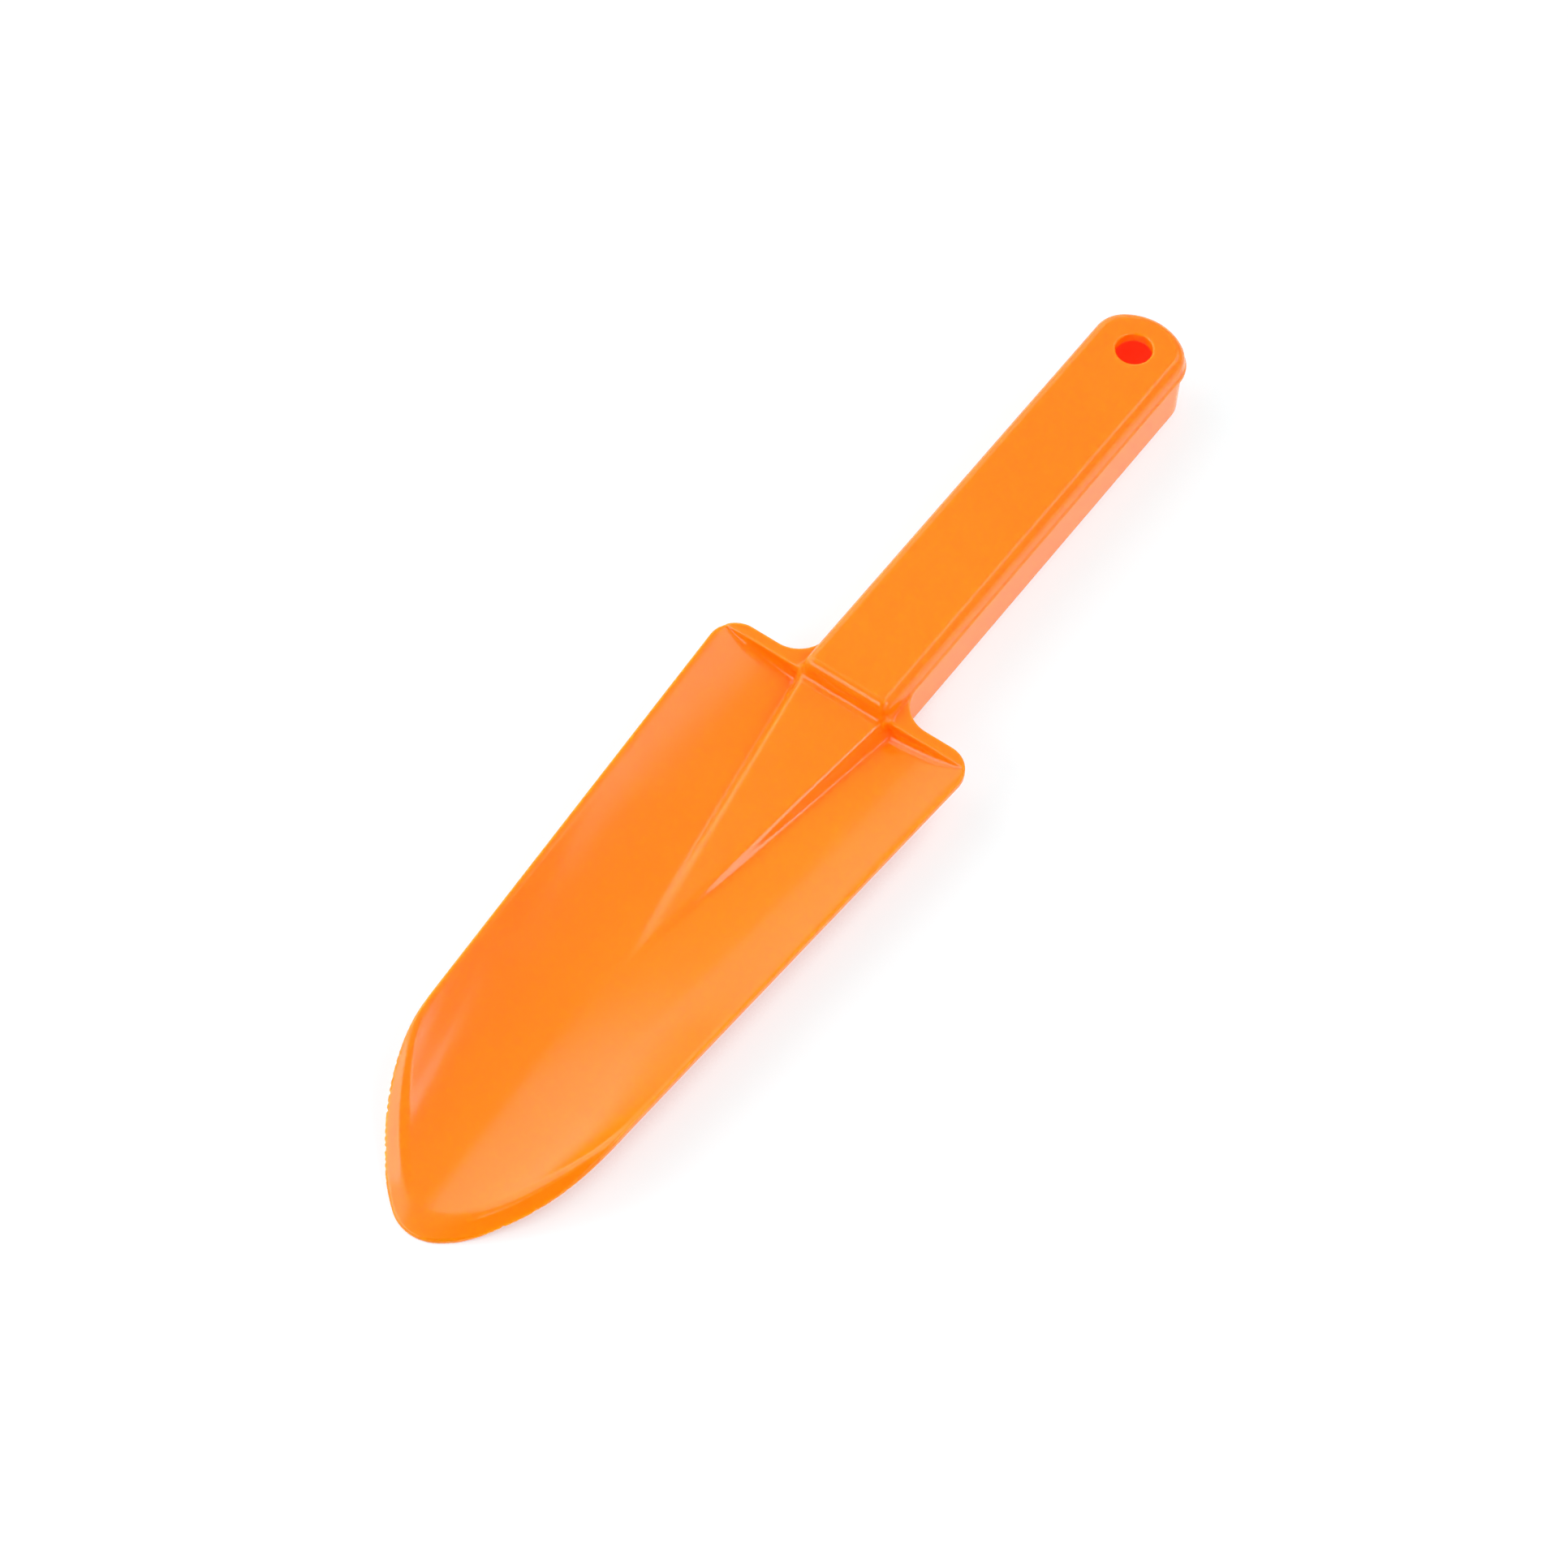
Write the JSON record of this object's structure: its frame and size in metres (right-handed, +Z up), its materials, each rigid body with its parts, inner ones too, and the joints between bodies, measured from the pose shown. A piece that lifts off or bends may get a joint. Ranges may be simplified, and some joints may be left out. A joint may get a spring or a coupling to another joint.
{
  "type": "sand scoop",
  "caption": "Orange plastic hand trowel for digging in sand: a shallow pointed scoop, a wedge-shaped spine and a channel-section grip with a hanging hole.",
  "frame": {"origin": "bottom centre of the bounding box, on the surface that the trowel lies on", "axes": "+X across the width, +Y from the nose of the scoop to the end of the grip, +Z up, with the scoop's open side upwards"},
  "size_m": [0.067, 0.28, 0.0193],
  "materials": {
    "orange_plastic": "gloss"
  },
  "bodies": {
    "root": {"blade": "orange_plastic", "spine": "orange_plastic", "handle": "orange_plastic"}
  },
  "joints": []
}
